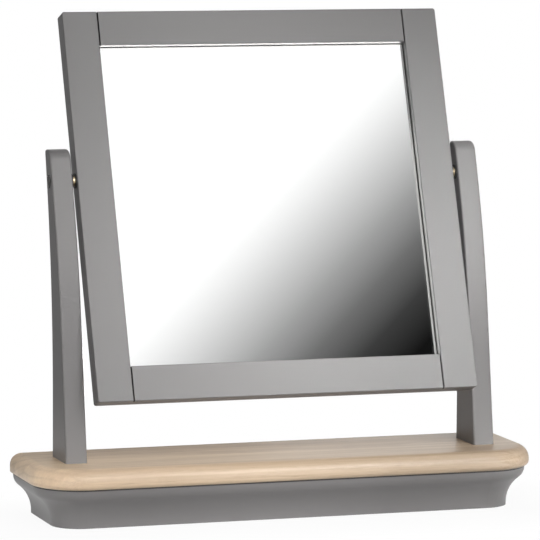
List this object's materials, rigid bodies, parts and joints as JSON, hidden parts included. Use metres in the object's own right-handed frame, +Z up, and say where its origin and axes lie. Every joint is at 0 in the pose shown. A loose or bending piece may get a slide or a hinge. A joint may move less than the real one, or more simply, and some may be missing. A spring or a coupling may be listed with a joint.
{
  "type": "shaving mirror",
  "caption": "Free-standing square shaving mirror in a painted frame that tilts between swept uprights on an oak board over a moulded plinth",
  "frame": {"origin": "middle of the underside of the base", "axes": "+Z up, the mirror faces -Y, +X runs along the base to the right of someone looking into the mirror"},
  "size_m": [0.54, 0.1815, 0.5137],
  "materials": {
    "grey_paint": "satin paint on wood",
    "oak": "limed and lacquered oak",
    "mirror": "silvered plate glass",
    "hardboard": "smooth brown hardboard",
    "steel": "zinc-plated steel",
    "brass": "turned brass",
    "black_nylon": "black nylon"
  },
  "bodies": {
    "stand": {"plinth": "grey_paint", "oak_top": "oak", "left_upright": "grey_paint", "right_upright": "grey_paint", "upright_screws": "steel", "top_screws": "steel", "post_washers": "black_nylon"},
    "mirror": {"left_stile": "grey_paint", "right_stile": "grey_paint", "top_rail": "grey_paint", "bottom_rail": "grey_paint", "mirror_glass": "mirror", "back_panel": "hardboard", "back_panel_screws": "steel", "left_pivot_insert": "brass", "right_pivot_insert": "brass", "left_pivot_bolt": "steel", "right_pivot_bolt": "steel", "left_pivot_collar": "brass", "right_pivot_collar": "brass", "bolt_washers": "steel", "frame_washers": "black_nylon"}
  },
  "joints": [
    {"name": "mirror_tilt", "type": "hinge", "parent": "stand", "child": "mirror", "pos_m": [0, 0.0473, 0.344], "axis": [1, 0, 0], "continuous": true}
  ]
}
